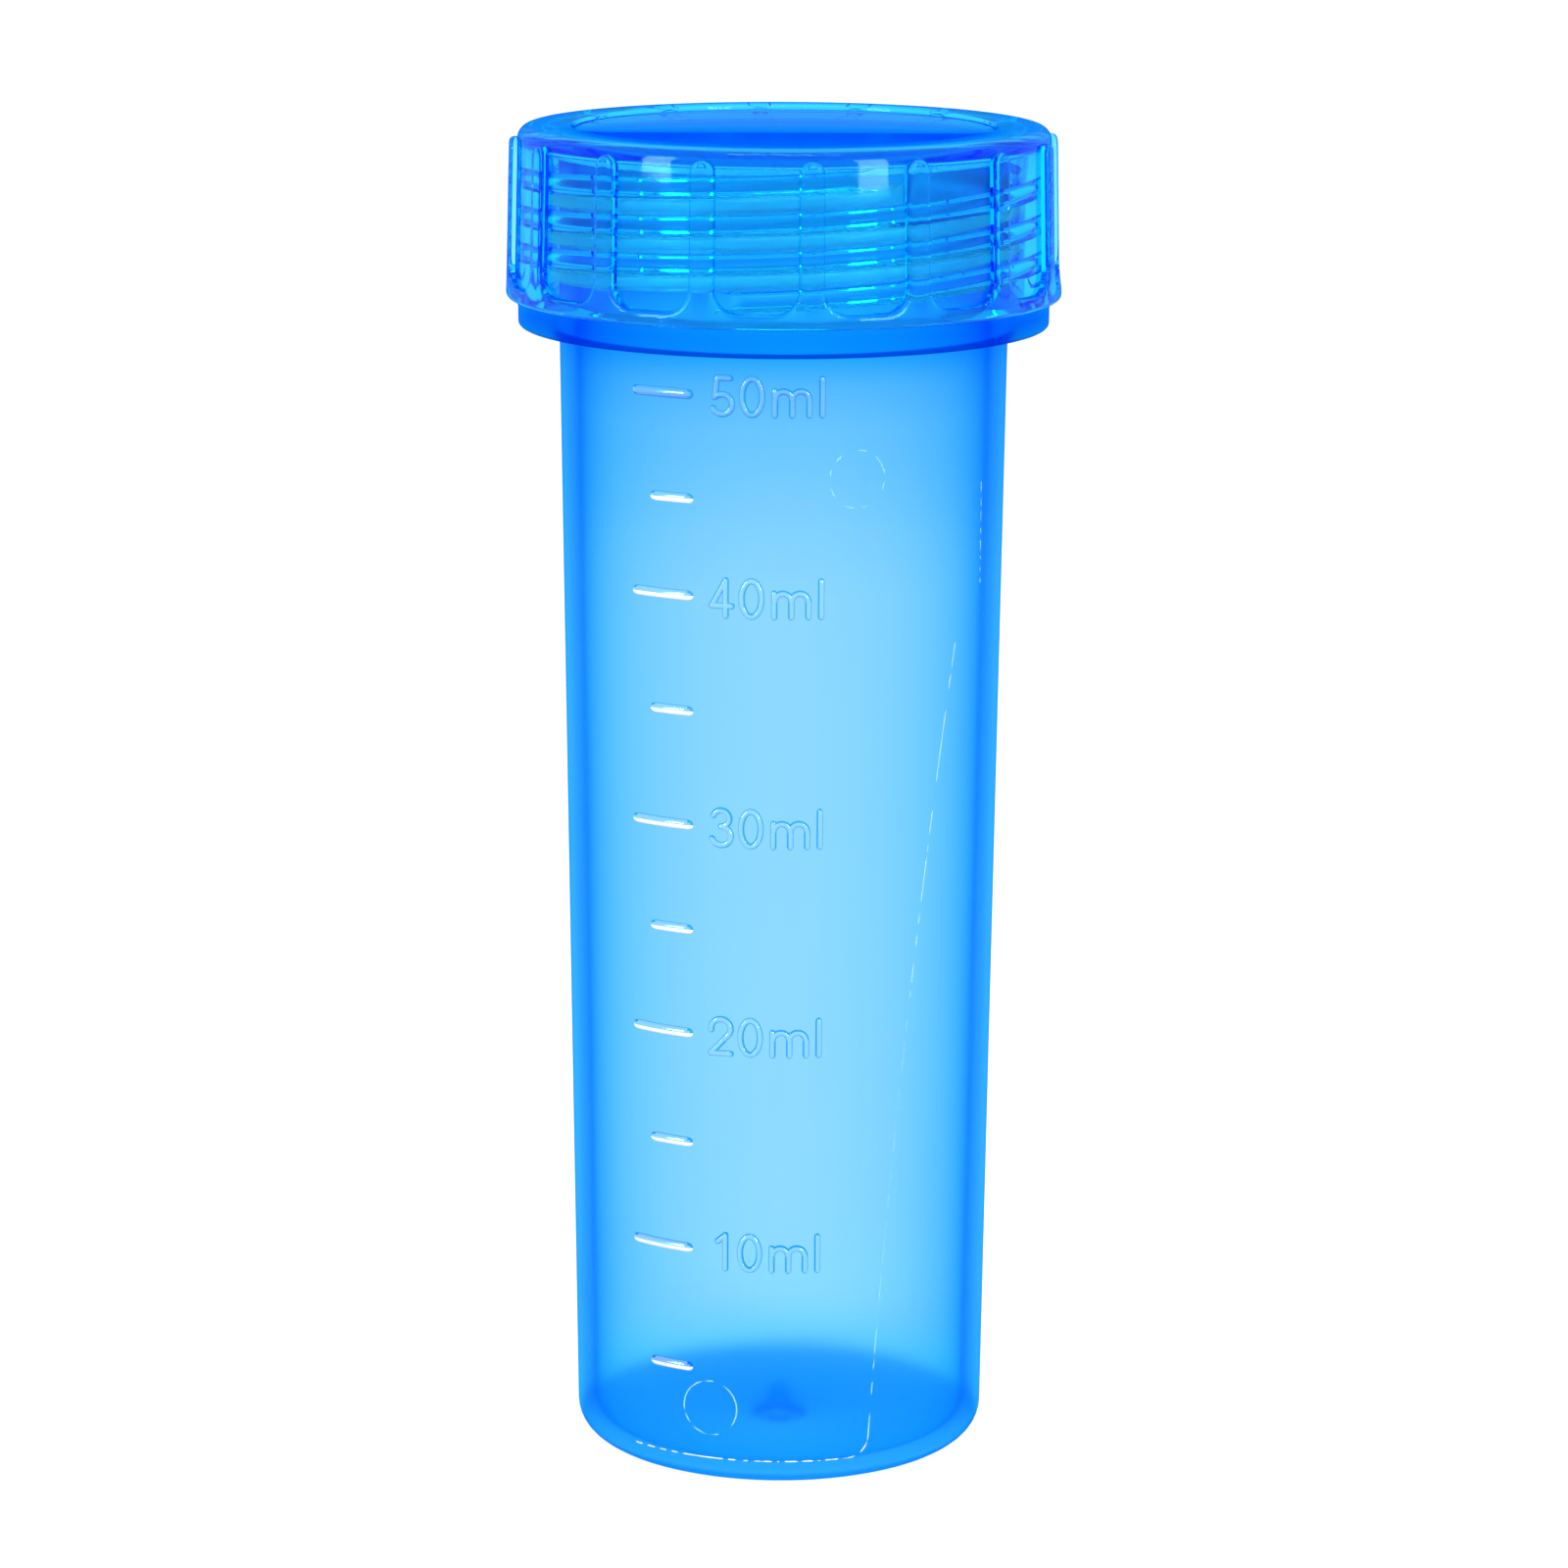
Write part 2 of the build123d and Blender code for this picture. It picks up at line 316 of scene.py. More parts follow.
def trim(piece, low, high):  # takes away what lies inside the tube's outer surface
    places = [(min(wallRadius(height), tube["topRadius"]) + tube["air"], height)
              for height in (low, high)]
    core = drawSection("core", [(0, low), *places, (0, high)])
    spinRound(core, tube["steps"])
    join(piece, core, "DIFFERENCE")


# its light streaks come partly from its gloss and partly from a pale colour painted on as
# highlight
def makeNeckThread():  # a body of its own, a hair off the neck, so that it can catch more light
    low, high = tube["collarTop"] + tube["threadFoot"], tube["rim"] - tube["threadHead"]
    ridges = [threadRidge("neckThread", tube["topRadius"], 1, low, high,
                          tube["threadAngle"] + start * 360 / thread["starts"])
              for start in range(thread["starts"])]
    join(*ridges)
    trim(ridges[0], tube["collarTop"], tube["rim"])
    return ridges[0]


# raised graduations, drawn as a round cutter leaves them

marks = {
    "heights": {5: 8.9, 10: 18.0, 15: 26.0, 20: 34.2, 25: 41.9, 30: 49.6, 35: 57.9, 40: 66.25,
                45: 73.2, 50: 80.6},
    "rightEnd": -6.2 * mm,
    "longLine": 4.35 * mm,
    "shortLine": 3.1 * mm,
    "lineThickness": 0.8 * mm,
    "labelLeft": -5.2 * mm,
    "digitHeight": 3.0 * mm,
    "digitWidth": 1.85 * mm,
    "letterHeight": 2.15 * mm,
    "mWidth": 2.85 * mm,
    "stroke": 0.45 * mm,
    "stand": 0.28 * mm,
    "digitGap": 0.25 * mm,
    "letterGap": 0.45 * mm,
    "pointSpacing": 0.3 * mm,
    "arcStep": 15,  # degrees
    "endAngles": (35, 65, 85),  # degrees round a rod's end where it has a ring
    "rodResolution": 4,
    "trimFoot": 1 * mm,
    "flankBelow": 0.7,  # faces turned further away from the wall's outward look are flanks
    "undersideBelow": -0.15,  # faces that look down more than this are undersides
    "highlightPaintedUpTo": 76 * mm,  # the lines below this height get a painted highlight on their undersides
    "seed": 5,
}

chance = random.Random(marks["seed"])


def straight(x0, z0, x1, z1):
    count = max(2, math.ceil(math.hypot(x1 - x0, z1 - z0) / marks["pointSpacing"]))
    return [(x0 + (x1 - x0) * i / count, z0 + (z1 - z0) * i / count) for i in range(count + 1)]


def arc(x, z, wide, high, start, sweep):  # part of an ellipse with half sizes wide and high
    count = math.ceil(abs(sweep) / marks["arcStep"])
    angles = [math.radians(start + sweep * i / count) for i in range(count + 1)]
    return [(x + wide * math.cos(a), z + high * math.sin(a)) for a in angles]


# centre lines, from the lower left of the character, in shares of its width and height
def strokesOf(character):
    wide = marks["digitWidth"] - marks["stroke"]
    high = marks["digitHeight"] - marks["stroke"]
    half = wide / 2
    if character == "0":
        return [arc(half, high / 2, half, high / 2, 0, 360)]
    if character == "1":
        stem = 0.75 * wide
        return [straight(stem, 0, stem, high), straight(0.35 * wide, 0.8 * high, stem, high)]
    if character == "2":
        bowl = arc(half, high - half, half, half, 190, -220)
        return [bowl, straight(*bowl[-1], 0, 0), straight(0, 0, wide, 0)]
    if character == "3":
        upper, lower = 0.23 * high, 0.27 * high
        return [arc(half, high - upper, upper, upper, 160, -250),
                arc(half, lower, lower, lower, 90, -250)]
    if character == "4":
        bar, stem = 0.28 * high, 0.7 * wide
        return [straight(stem, 0, stem, high), straight(0, bar, wide, bar),
                straight(0, bar, stem, high)]
    if character == "5":
        bowl = arc(half, half, half, half, -155, 290)
        return [bowl, straight(*bowl[-1], 0.25 * wide, high),
                straight(0.25 * wide, high, 0.9 * wide, high)]
    if character == "m":
        bend = (marks["mWidth"] - marks["stroke"]) / 4
        spring = marks["letterHeight"] - marks["stroke"] - bend
        found = [straight(0, 0, 0, spring + bend)]
        for middle in (bend, 3 * bend):
            found.append(arc(middle, spring, bend, bend, 180, -180))
            found.append(straight(middle + bend, 0, middle + bend, spring))
        return found
    return [straight(0, 0, 0, high)]


# a round rod let into the tube's front along (x, z) points
def rod(name, path, thickness, stand, broken=0):
    loop = math.dist(path[0], path[-1]) < samePlace
    radius = thickness / 2
    places = [(x, z, 1) for x, z in (path[:-1] if loop else path)]
    if not loop:  # round the two ends
        for inner, end, where in ((path[1], path[0], 0), (path[-2], path[-1], len(places))):
            length = math.dist(inner, end)
            ahead = [(end[i] - inner[i]) / length for i in (0, 1)]
            rounding = []
            for angle in marks["endAngles"]:
                reach = radius * math.sin(math.radians(angle))
                rounding.append((end[0] + ahead[0] * reach, end[1] + ahead[1] * reach,
                                 math.cos(math.radians(angle))))
            places = rounding[::-1] + places if where == 0 else places + rounding
    curve = bpy.data.curves.new(name, "CURVE")
    curve.dimensions = "3D"
    curve.bevel_depth = radius
    curve.bevel_resolution = marks["rodResolution"]
    curve.use_fill_caps = not loop
    line = curve.splines.new("POLY")
    line.points.add(len(places) - 1)
    line.use_cyclic_u = loop
    for point, (x, z, size) in zip(line.points, places):
        out = wallRadius(z) + stand - radius - broken * chance.random() ** 2
        point.co = (x, -math.sqrt(out * out - x * x), z, 1)
        point.radius = size
    piece = bpy.data.objects.new(name, curve)
    bpy.context.scene.collection.objects.link(piece)
    choose(piece)
    bpy.ops.object.convert(target="MESH")
    edit(piece)
    closeUp(piece)
    return piece


def makeMarks():
    rods = []
    for volume, level in marks["heights"].items():
        height, labelled = level * mm, volume % 10 == 0
        length = marks["longLine"] if labelled else marks["shortLine"]
        half = marks["lineThickness"] / 2
        right = marks["rightEnd"] - half
        rods.append(rod("mark", straight(right - length + 2 * half, height, right, height),
                        marks["lineThickness"], marks["stand"]))
        if not labelled:
            continue
        left = marks["labelLeft"] + marks["stroke"] / 2
        foot = height - (marks["digitHeight"] - marks["stroke"]) / 2
        for character in f"{volume}ml":
            for path in strokesOf(character):
                moved = [(left + x, foot + z) for x, z in path]
                rods.append(rod("stroke", moved, marks["stroke"], marks["stand"]))
            left += marks["mWidth"] if character == "m" else marks["digitWidth"]
            left += marks["letterGap"] if character in "0m" else marks["digitGap"]
    lettering = rods[0]
    for other in rods[1:]:
        join(lettering, other)
    return lettering


def steepness(face):  # 1 where a face looks straight out of the wall, 0 where it stands up from it
    out = face.calc_center_median()
    out.z = 0
    return face.normal.dot(out.normalized())


# lines that the mould's insert and pins leave on the wall

witness = {
    "thickness": 0.12 * mm,
    "stand": 0.035 * mm,
    "broken": 0.06 * mm,  # how far it dips into the wall here and there
    "lineFoot": 6.3 * mm,  # the long line leans and bows to the right as it climbs
    "lineLean": 0.06,
    "lineBow": 0.6,  # per metre
    "lineTop": 62.5 * mm,
    "cornerRadius": 1.5 * mm,
    "baseLine": 2.06 * mm,
    "baseLeft": -11 * mm,
    "lineStep": 0.6 * mm,
    "shortLine": (14.15 * mm, 66 * mm, 73.5 * mm),  # across, from, up to
    "pinWidth": 1.93 * mm,
    "pinHeight": 2.07 * mm,
    "pins": ((-5 * mm, 5.9 * mm), (5.2 * mm, 74.7 * mm)),  # across, up
}


def insertLine(height):
    return witness["lineFoot"] + witness["lineLean"] * height + witness["lineBow"] * height ** 2


def makeWitness():
    corner, base = witness["cornerRadius"], witness["baseLine"]
    foot = base + corner
    middle = insertLine(foot) - corner
    steps = round((witness["lineTop"] - foot) / witness["lineStep"])
    heights = [foot + (witness["lineTop"] - foot) * i / steps for i in range(1, steps + 1)]
    paths = [straight(witness["baseLeft"], base, middle, base)[:-1]
             + arc(middle, foot, corner, corner, -90, 90)
             + [(insertLine(height), height) for height in heights]]
    side, low, high = witness["shortLine"]
    paths.append(straight(side, low, side, high))
    for x, z in witness["pins"]:
        paths.append(arc(x, z, witness["pinWidth"], witness["pinHeight"], 0, 360))
    lines = [rod("line", path, witness["thickness"], witness["stand"], witness["broken"])
             for path in paths]
    for other in lines[1:]:
        join(lines[0], other)
    return lines[0]


testTube = makeTube()
finish(testTube)
neckThread = makeNeckThread()
finish(neckThread)
graduations = makeMarks()
trim(graduations, marks["trimFoot"], tube["collarBottom"])
graduations.name = "graduations"
finish(graduations)
mouldLines = makeWitness()
trim(mouldLines, marks["trimFoot"], tube["collarBottom"])
mouldLines.name = "mouldLines"
finish(mouldLines)


# screw cap

cap = {
    "steps": 288,
    "bottom": capLow.z,
    "top": capHigh.z,
    "roof": 96.7 * mm,  # underside
    "boreRadius": 17.5 * mm,
    "leadIn": 0.4 * mm,
    "skirtTop": 19.2 * mm,
    "skirtBottom": 19.5 * mm,
    "recessRadius": 15.3 * mm,
    "recessDepth": 0.3 * mm,
    "recessRounding": 0.12 * mm,
    "shoulderRounding": 0.9 * mm,
    "lipRounding": 0.1 * mm,
    "roofRounding": 0.4 * mm,
    "ribs": 16,
    "ribWidth": 1.8 * mm,
    "ribHeight": 0.6 * mm,
    "ribDrop": 0.7 * mm,
    "ribTopShare": 0.97,  # how much of a rib's half width its round top takes up
    "ribTopSegments": 7,
    "edgeRounding": 0.35 * mm,
    "edgeSegments": 4,
    "firstRib": 5.7,  # degrees from the front
    "bandHeight": 1.1 * mm,
    "windowCorner": 1.7 * mm,
    "windowSegments": 8,
    "rooted": 0.3 * mm,  # how far the grip reaches into the skirt
    "stripsPerRib": 18,
    "threadFoot": 1.6 * mm,
    "threadHead": 0.9 * mm,
}


def makeShell():
    bottom, top = cap["bottom"], cap["top"]
    shell = drawSection("screwCap", [
        (0, top - cap["recessDepth"]),
        (cap["recessRadius"], top - cap["recessDepth"], cap["recessRounding"], 2),
        (cap["recessRadius"], top, cap["recessRounding"], 3),
        (cap["skirtTop"], top, cap["shoulderRounding"], 8),
        (cap["skirtBottom"], bottom, cap["lipRounding"], 2),
        (cap["boreRadius"] + cap["leadIn"], bottom),
        (cap["boreRadius"], bottom + cap["leadIn"]),
        (cap["boreRadius"], cap["roof"], cap["roofRounding"], 4),
        (0, cap["roof"]),
    ])
    spinRound(shell, cap["steps"])
    return shell


def makeRib():  # one rib and its share of the band, flat at first and then bent round
    tilt = math.atan2(cap["skirtBottom"] - cap["skirtTop"], cap["top"] - cap["bottom"])
    bendRadius = (cap["skirtTop"] + cap["skirtBottom"]) / 2 + cap["ribHeight"]
    share = fullTurn / cap["ribs"]
    side, half = bendRadius * share / 2, cap["ribWidth"] / 2
    band, ribTop = cap["bandHeight"], cap["top"] - cap["bottom"] - cap["ribDrop"]
    back = cap["ribHeight"] + cap["rooted"]

    def onSeam(part):  # where this share of the band meets the next one
        middle = sum(v.co.x for v in part.verts) / len(part.verts)
        return abs(abs(middle) - side) < samePlace

    rib = drawLine("rib", [
        (-side, back, 0), (side, back, 0), (side, back, band), (half, back, band),
        (half, back, ribTop), (-half, back, ribTop), (-half, back, band), (-side, back, band),
    ], closed=True)
    window = (band, cap["windowCorner"], cap["windowSegments"])
    roundTop = (ribTop, cap["ribTopShare"] * half, cap["ribTopSegments"])
    for z, size, segments in (window, roundTop):
        for x in (half, -half):
            pick(rib, "VERT", lambda v: near(v, (x, back, z)))
            bpy.ops.mesh.bevel(offset=size, segments=segments, affect="VERTICES")
    bpy.ops.mesh.select_all(action="SELECT")
    bpy.ops.mesh.edge_face_add()
    bpy.ops.mesh.extrude_region_move(TRANSFORM_OT_translate={"value": (0, -back, 0)})
    bpy.ops.mesh.select_all(action="SELECT")
    bpy.ops.mesh.normals_make_consistent(inside=False)
    pick(rib, "EDGE", lambda e: all(abs(v.co.y) < samePlace for v in e.verts) and not onSeam(e))
    bpy.ops.mesh.bevel(offset=cap["edgeRounding"], segments=cap["edgeSegments"], affect="EDGES")
    pick(rib, "FACE", onSeam)
    bpy.ops.mesh.delete(type="FACE")
    bpy.ops.object.mode_set(mode="OBJECT")
    middle = (cap["top"] - cap["bottom"]) / 2
    for corner in rib.data.vertices:  # the draft of the skirt
        corner.co.y -= (middle - corner.co.z) * math.tan(tilt)
    edit(rib)
    strips = cap["stripsPerRib"]
    for strip in range(1, strips):
        bpy.ops.mesh.select_all(action="SELECT")
        bpy.ops.mesh.bisect(plane_co=(side * (2 * strip / strips - 1), 0, 0), plane_no=(1, 0, 0))
    bpy.ops.object.mode_set(mode="OBJECT")
    bend = rib.modifiers.new("bend", "SIMPLE_DEFORM")
    bend.deform_method = "BEND"
    bend.deform_axis = "Z"
    bend.angle = share
    bpy.ops.object.modifier_apply(modifier=bend.name)
    rib.location = (0, -bendRadius, cap["bottom"])
    bpy.ops.object.transform_apply(location=True)
    return rib


def makeGrip():
    grip = makeRib()
    turn(grip, cap["firstRib"])
    copies = []
    for number in range(1, cap["ribs"]):
        copy = grip.copy()
        copy.data = grip.data.copy()
        bpy.context.scene.collection.objects.link(copy)
        turn(copy, 360 * number / cap["ribs"])
        copies.append(copy)
    choose(grip)
    for copy in copies:
        copy.select_set(True)
    bpy.ops.object.join()
    edit(grip)
    closeUp(grip)
    report(grip)
    return grip


def makeCap():
    shell = makeShell()
    join(shell, makeGrip())
    low, high = cap["bottom"] + cap["threadFoot"], cap["roof"] - cap["threadHead"]
    climbed = low - (tube["collarTop"] + tube["threadFoot"]) - thread["pitch"] / 2
    startAngle = tube["threadAngle"] + 360 * climbed / (thread["starts"] * thread["pitch"])
    threadOn(shell, cap["boreRadius"], -1, low, high, startAngle)
    return shell


screwCap = makeCap()
finish(screwCap)


# sealing liner, held in the roof of the cap

liner = {
    "steps": 192,
    "radius": 16.4 * mm,
    "rounding": 0.15 * mm,
    "air": 0.02 * mm,  # above and below it
}


def makeLiner():
    low, high = linerLow.z + liner["air"], linerHigh.z - liner["air"]
    disc = drawSection("sealingLiner", [
        (0, low),
        (liner["radius"], low, liner["rounding"], 3),
        (liner["radius"], high, liner["rounding"], 3),
        (0, high),
    ])
    spinRound(disc, liner["steps"])
    return disc


sealingLiner = makeLiner()
finish(sealingLiner)


# materials

moulding = {  # the look that every plastic here shares
    "grainDetail": 3,
    "grainDepth": 0.02 * mm,
    "mottleDetail": 4,
    "streakScale": 900,
    "streakDetail": 2,
    "streakStretch": 0.08,
    "absorptionHeadroom": 1.02,
}


def newMaterial(name):
    material = bpy.data.materials.new(name)
    material.use_nodes = True
    return material, material.node_tree.nodes, material.node_tree.links


def setMaterial(piece, material):
    piece.data.materials.clear()
    piece.data.materials.append(material)


def detailGroup():  # fine grain, slow mottling and flow streaks, for every plastic here
    group = bpy.data.node_groups.new("mouldedDetail", "ShaderNodeTree")
    for name, value in (("Grain Scale", 3000), ("Mottle Scale", 120), ("Roughness", 0.5),
                        ("Spread", 0.1), ("Tone Spread", 0.05)):
        socket = group.interface.new_socket(name, in_out="INPUT", socket_type="NodeSocketFloat")
        socket.default_value = value
    for name in ("Height", "Roughness", "Tone"):
        group.interface.new_socket(name, in_out="OUTPUT", socket_type="NodeSocketFloat")
    nodes, links = group.nodes, group.links
    given = nodes.new("NodeGroupInput")
    put = nodes.new("NodeGroupOutput")
    place = nodes.new("ShaderNodeTexCoord")

    grain = nodes.new("ShaderNodeTexNoise")
    grain.inputs["Detail"].default_value = moulding["grainDetail"]
    links.new(place.outputs["Object"], grain.inputs["Vector"])
    links.new(given.outputs["Grain Scale"], grain.inputs["Scale"])
    links.new(grain.outputs["Fac"], put.inputs["Height"])

    mottle = nodes.new("ShaderNodeTexNoise")
    mottle.inputs["Detail"].default_value = moulding["mottleDetail"]
    links.new(place.outputs["Object"], mottle.inputs["Vector"])
    links.new(given.outputs["Mottle Scale"], mottle.inputs["Scale"])

    stretch = nodes.new("ShaderNodeMapping")  # flow streaks run up the part
    stretch.inputs["Scale"].default_value = (1, 1, moulding["streakStretch"])
    links.new(place.outputs["Object"], stretch.inputs["Vector"])
    streak = nodes.new("ShaderNodeTexNoise")
    streak.inputs["Scale"].default_value = moulding["streakScale"]
    streak.inputs["Detail"].default_value = moulding["streakDetail"]
    links.new(stretch.outputs["Vector"], streak.inputs["Vector"])

    both = nodes.new("ShaderNodeMath")
    both.operation = "ADD"
    links.new(mottle.outputs["Fac"], both.inputs[0])
    links.new(streak.outputs["Fac"], both.inputs[1])
    centred = nodes.new("ShaderNodeMath")
    centred.operation = "SUBTRACT"
    links.new(both.outputs[0], centred.inputs[0])
    centred.inputs[1].default_value = 1

    for spread, base, output in (("Spread", "Roughness", "Roughness"),
                                 ("Tone Spread", None, "Tone")):
        change = nodes.new("ShaderNodeMath")
        change.operation = "MULTIPLY_ADD"
        change.use_clamp = True  # a plastic never sends back more than it gets
        links.new(centred.outputs[0], change.inputs[0])
        links.new(given.outputs[spread], change.inputs[1])
        if base:
            links.new(given.outputs[base], change.inputs[2])
        else:
            change.inputs[2].default_value = 1
        links.new(change.outputs[0], put.inputs[output])
    return group


mouldedDetail = detailGroup()


def colourByHeight(nodes, links, stops):  # stops are (millimetres up, colour)
    place = nodes.new("ShaderNodeTexCoord")
    split = nodes.new("ShaderNodeSeparateXYZ")
    links.new(place.outputs["Object"], split.inputs["Vector"])
    share = nodes.new("ShaderNodeMapRange")
    share.inputs["From Max"].default_value = capHigh.z
    links.new(split.outputs["Z"], share.inputs["Value"])
    ramp = nodes.new("ShaderNodeValToRGB")
    links.new(share.outputs["Result"], ramp.inputs["Fac"])
    elements = ramp.color_ramp.elements
    while len(elements) < len(stops):
        elements.new(1)
    for element, (height, colour) in zip(elements, stops):
        element.position = height * mm / capHigh.z
        element.color = (*colour, 1)
    return ramp.outputs["Color"]


def makePlastic(name, looks):
    material, nodes, links = newMaterial(name)
    shader = nodes["Principled BSDF"]
    shader.inputs["IOR"].default_value = looks["ior"]
    shader.inputs["Specular Tint"].default_value = (*looks["glint"], 1)
    shader.inputs["Transmission Weight"].default_value = looks.get("clarity", 1)
    # a dyed skin, deeper in colour where it is seen aslant
    shader.inputs["Coat Weight"].default_value = 1
    shader.inputs["Coat Roughness"].default_value = looks["roughness"]
    shader.inputs["Coat IOR"].default_value = looks["skinIor"]
    shader.inputs["Coat Tint"].default_value = (*looks["skin"], 1)

    detail = nodes.new("ShaderNodeGroup")
    detail.node_tree = mouldedDetail
    for socket, value in zip(detail.inputs, (looks["grainScale"], looks["mottleScale"],
                                             looks["roughness"], looks["spread"], looks["tone"])):
        socket.default_value = value
    links.new(detail.outputs["Roughness"], shader.inputs["Roughness"])
    bump = nodes.new("ShaderNodeBump")
    bump.inputs["Strength"].default_value = looks["grain"]
    bump.inputs["Distance"].default_value = moulding["grainDepth"]
    links.new(detail.outputs["Height"], bump.inputs["Height"])
    links.new(bump.outputs["Normal"], shader.inputs["Normal"])

    toned = nodes.new("ShaderNodeMix")
    toned.data_type, toned.blend_type = "RGBA", "MULTIPLY"
    toned.inputs["Factor"].default_value = 1
    links.new(colourByHeight(nodes, links, looks["colours"]), toned.inputs["A"])
    links.new(detail.outputs["Tone"], toned.inputs["B"])
    links.new(toned.outputs["Result"], shader.inputs["Base Color"])

    if "absorbs" in looks:
        absorption = nodes.new("ShaderNodeVolumeAbsorption")
        densest = max(looks["absorbs"]) * moulding["absorptionHeadroom"]
        tint = [1 - a / densest for a in looks["absorbs"]]
        absorption.inputs["Color"].default_value = (*tint, 1)
        absorption.inputs["Density"].default_value = densest / mm
        links.new(absorption.outputs["Volume"], nodes["Material Output"].inputs["Volume"])
    return material


frosted = makePlastic("frostedPlastic", {
    "roughness": 0.6, "ior": 1.03, "glint": (0.1, 0.4, 1),
    "skinIor": 1.0, "skin": (0.85, 0.97, 1), "absorbs": (0.27, 0.09, 0.002),
    # darker towards the base and on the collar; the darkening from 66 mm up to the collar is
    # painted shade under it
    "colours": ((0, (0.12, 0.66, 0.97)), (0.05, (0.12, 0.66, 0.97)), (0.15, (0.02, 0.4, 0.97)),
                (1, (0.03, 0.42, 0.97)), (1.2, (0.5, 0.94, 0.97)), (1.4, (0.35, 0.82, 0.97)),
                (2, (0.6, 0.96, 0.97)), (5, (0.95, 0.96, 0.97)), (12, (1, 0.92, 0.97)),
                (66, (1, 0.935, 0.97)), (72, (0.8, 0.88, 0.97)), (78, (0.72, 0.85, 0.97)),
                (81, (0.5, 0.77, 0.97)), (83.5, (0.03, 0.61, 0.97)), (85.5, (0.03, 0.61, 0.97)),
                (86, (0.7, 0.95, 0.97))),
    "grainScale": 4000, "grain": 0.25, "mottleScale": 60, "spread": 0.1, "tone": 0.05})
# the crests darken from 70 mm up: painted shade under the collar
crest = makePlastic("markCrestPlastic", {
    "roughness": 0.12, "ior": 1.6, "glint": (0.5, 0.9, 1), "clarity": 0.88,
    "skinIor": 1.2, "skin": (1, 1, 1),
    "colours": ((0, (0.85, 0.98, 1)), (70, (0.85, 0.98, 1)), (78, (0.5, 0.82, 1))),
    "grainScale": 2500, "grain": 0.1, "mottleScale": 300, "spread": 0.08, "tone": 0.04})
# the steep sides of the marks are painted deep blue: painted shade on the flanks
flankShade = makePlastic("paintedShadeFlankPlastic", {
    "roughness": 0.2, "ior": 1.1, "glint": (0.1, 0.4, 1),
    "skinIor": 1.0, "skin": (0.6, 0.9, 1), "colours": ((0, (0.08, 0.7, 1)),),
    "grainScale": 2500, "grain": 0.1, "mottleScale": 300, "spread": 0.08, "tone": 0.04})
# the thread's pale colour is a painted highlight, beside the real glints of its gloss
ridged = makePlastic("neckThreadPlastic", {
    "roughness": 0.3, "ior": 1.7, "glint": (0.6, 0.95, 1), "clarity": 0.85,
    "skinIor": 1.0, "skin": (1, 1, 1), "colours": ((0, (0.78, 0.9, 1)),),
    "grainScale": 2500, "grain": 0.1, "mottleScale": 300, "spread": 0.08, "tone": 0.06})
# near-white, matte undersides of the lines below 76 mm: a painted highlight
undersideHighlight = makePlastic("paintedHighlightPlastic", {
    "roughness": 0.35, "ior": 1.45, "glint": (1, 1, 1), "clarity": 0,
    "skinIor": 1.0, "skin": (1, 1, 1), "colours": ((0, (0.92, 0.97, 1)),),
    "grainScale": 2500, "grain": 0.1, "mottleScale": 500, "spread": 0.1, "tone": 0.1})
# the mould lines are painted white up to 2.6 mm: a painted highlight
witnessed = makePlastic("witnessPlastic", {
    "roughness": 0.35, "ior": 1.3, "glint": (1, 1, 1), "clarity": 0.4,
    "skinIor": 1.0, "skin": (1, 1, 1),
    "colours": ((0, (1, 1, 1)), (2.6, (1, 1, 1)), (4.2, (0.45, 0.85, 1)), (15, (0.3, 0.7, 1)),
                (32, (0.3, 0.7, 1)), (42, (0.6, 0.9, 1)), (62, (0.6, 0.9, 1)),
                (70, (0.4, 0.75, 1))),
    "grainScale": 2500, "grain": 0.1, "mottleScale": 500, "spread": 0.1, "tone": 0.3})
# the roof is painted darker towards the top, darkest in the recess: painted shade
clear = makePlastic("clearPlastic", {
    "roughness": 0.04, "ior": 1.28, "glint": (0.45, 0.8, 1),
    "skinIor": 1.0, "skin": (0.66, 0.92, 1), "absorbs": (0.5, 0.02, 0.002),
    "colours": ((0, (1, 0.96, 1)), (95.5, (1, 0.96, 1)), (97.2, (0.6, 0.8, 1)),
                (97.5, (0.4, 0.45, 1)), (97.8, (0.4, 0.45, 1)), (97.95, (1, 1, 1))),
    "grainScale": 1500, "grain": 0.05, "mottleScale": 150, "spread": 0.01, "tone": 0.04})
# the liner's deep blue is painted shade that darkens the cap's roof above it
linerShade = makePlastic("paintedShadeLinerPlastic", {
    "roughness": 0.3, "ior": 1.4, "glint": (0.2, 0.6, 1), "clarity": 0.3,
    "skinIor": 1.0, "skin": (0.9, 0.98, 1), "absorbs": (0.5, 0.08, 0.003),
    "colours": ((0, (0.01, 0.35, 1)),),
    "grainScale": 2000, "grain": 0.02, "mottleScale": 200, "spread": 0.1, "tone": 0.06})

for piece, node, body, slot, material in (
    (testTube, "tube", "tube", "frosted_plastic", frosted),
    (neckThread, "tube", "tube", "frosted_plastic", ridged),
    (graduations, "tube", "tube", "frosted_plastic", crest),
    (mouldLines, "tube", "tube", "frosted_plastic", witnessed),
    (screwCap, "screw_cap", "cap", "clear_plastic", clear),
    (sealingLiner, "sealing_liner", "liner", "liner_plastic", linerShade),
):
    setMaterial(piece, material)
    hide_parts(node)
    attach(piece, body)

# the steep flanks of the marks get the painted shade
for material in (flankShade, undersideHighlight):
    graduations.data.materials.append(material)
edit(graduations)
# the undersides of the lines below 76 mm get the painted highlight
for number, test in ((1, lambda f: steepness(f) < marks["flankBelow"]),
                     (2, lambda f: f.normal.z < marks["undersideBelow"]
                      and f.calc_center_median().x < marks["rightEnd"]
                      and f.calc_center_median().z < marks["highlightPaintedUpTo"])):
    pick(graduations, "FACE", test)
    graduations.active_material_index = number
    bpy.ops.object.material_slot_assign()
deselectAll()
print("plastics given")


# studio

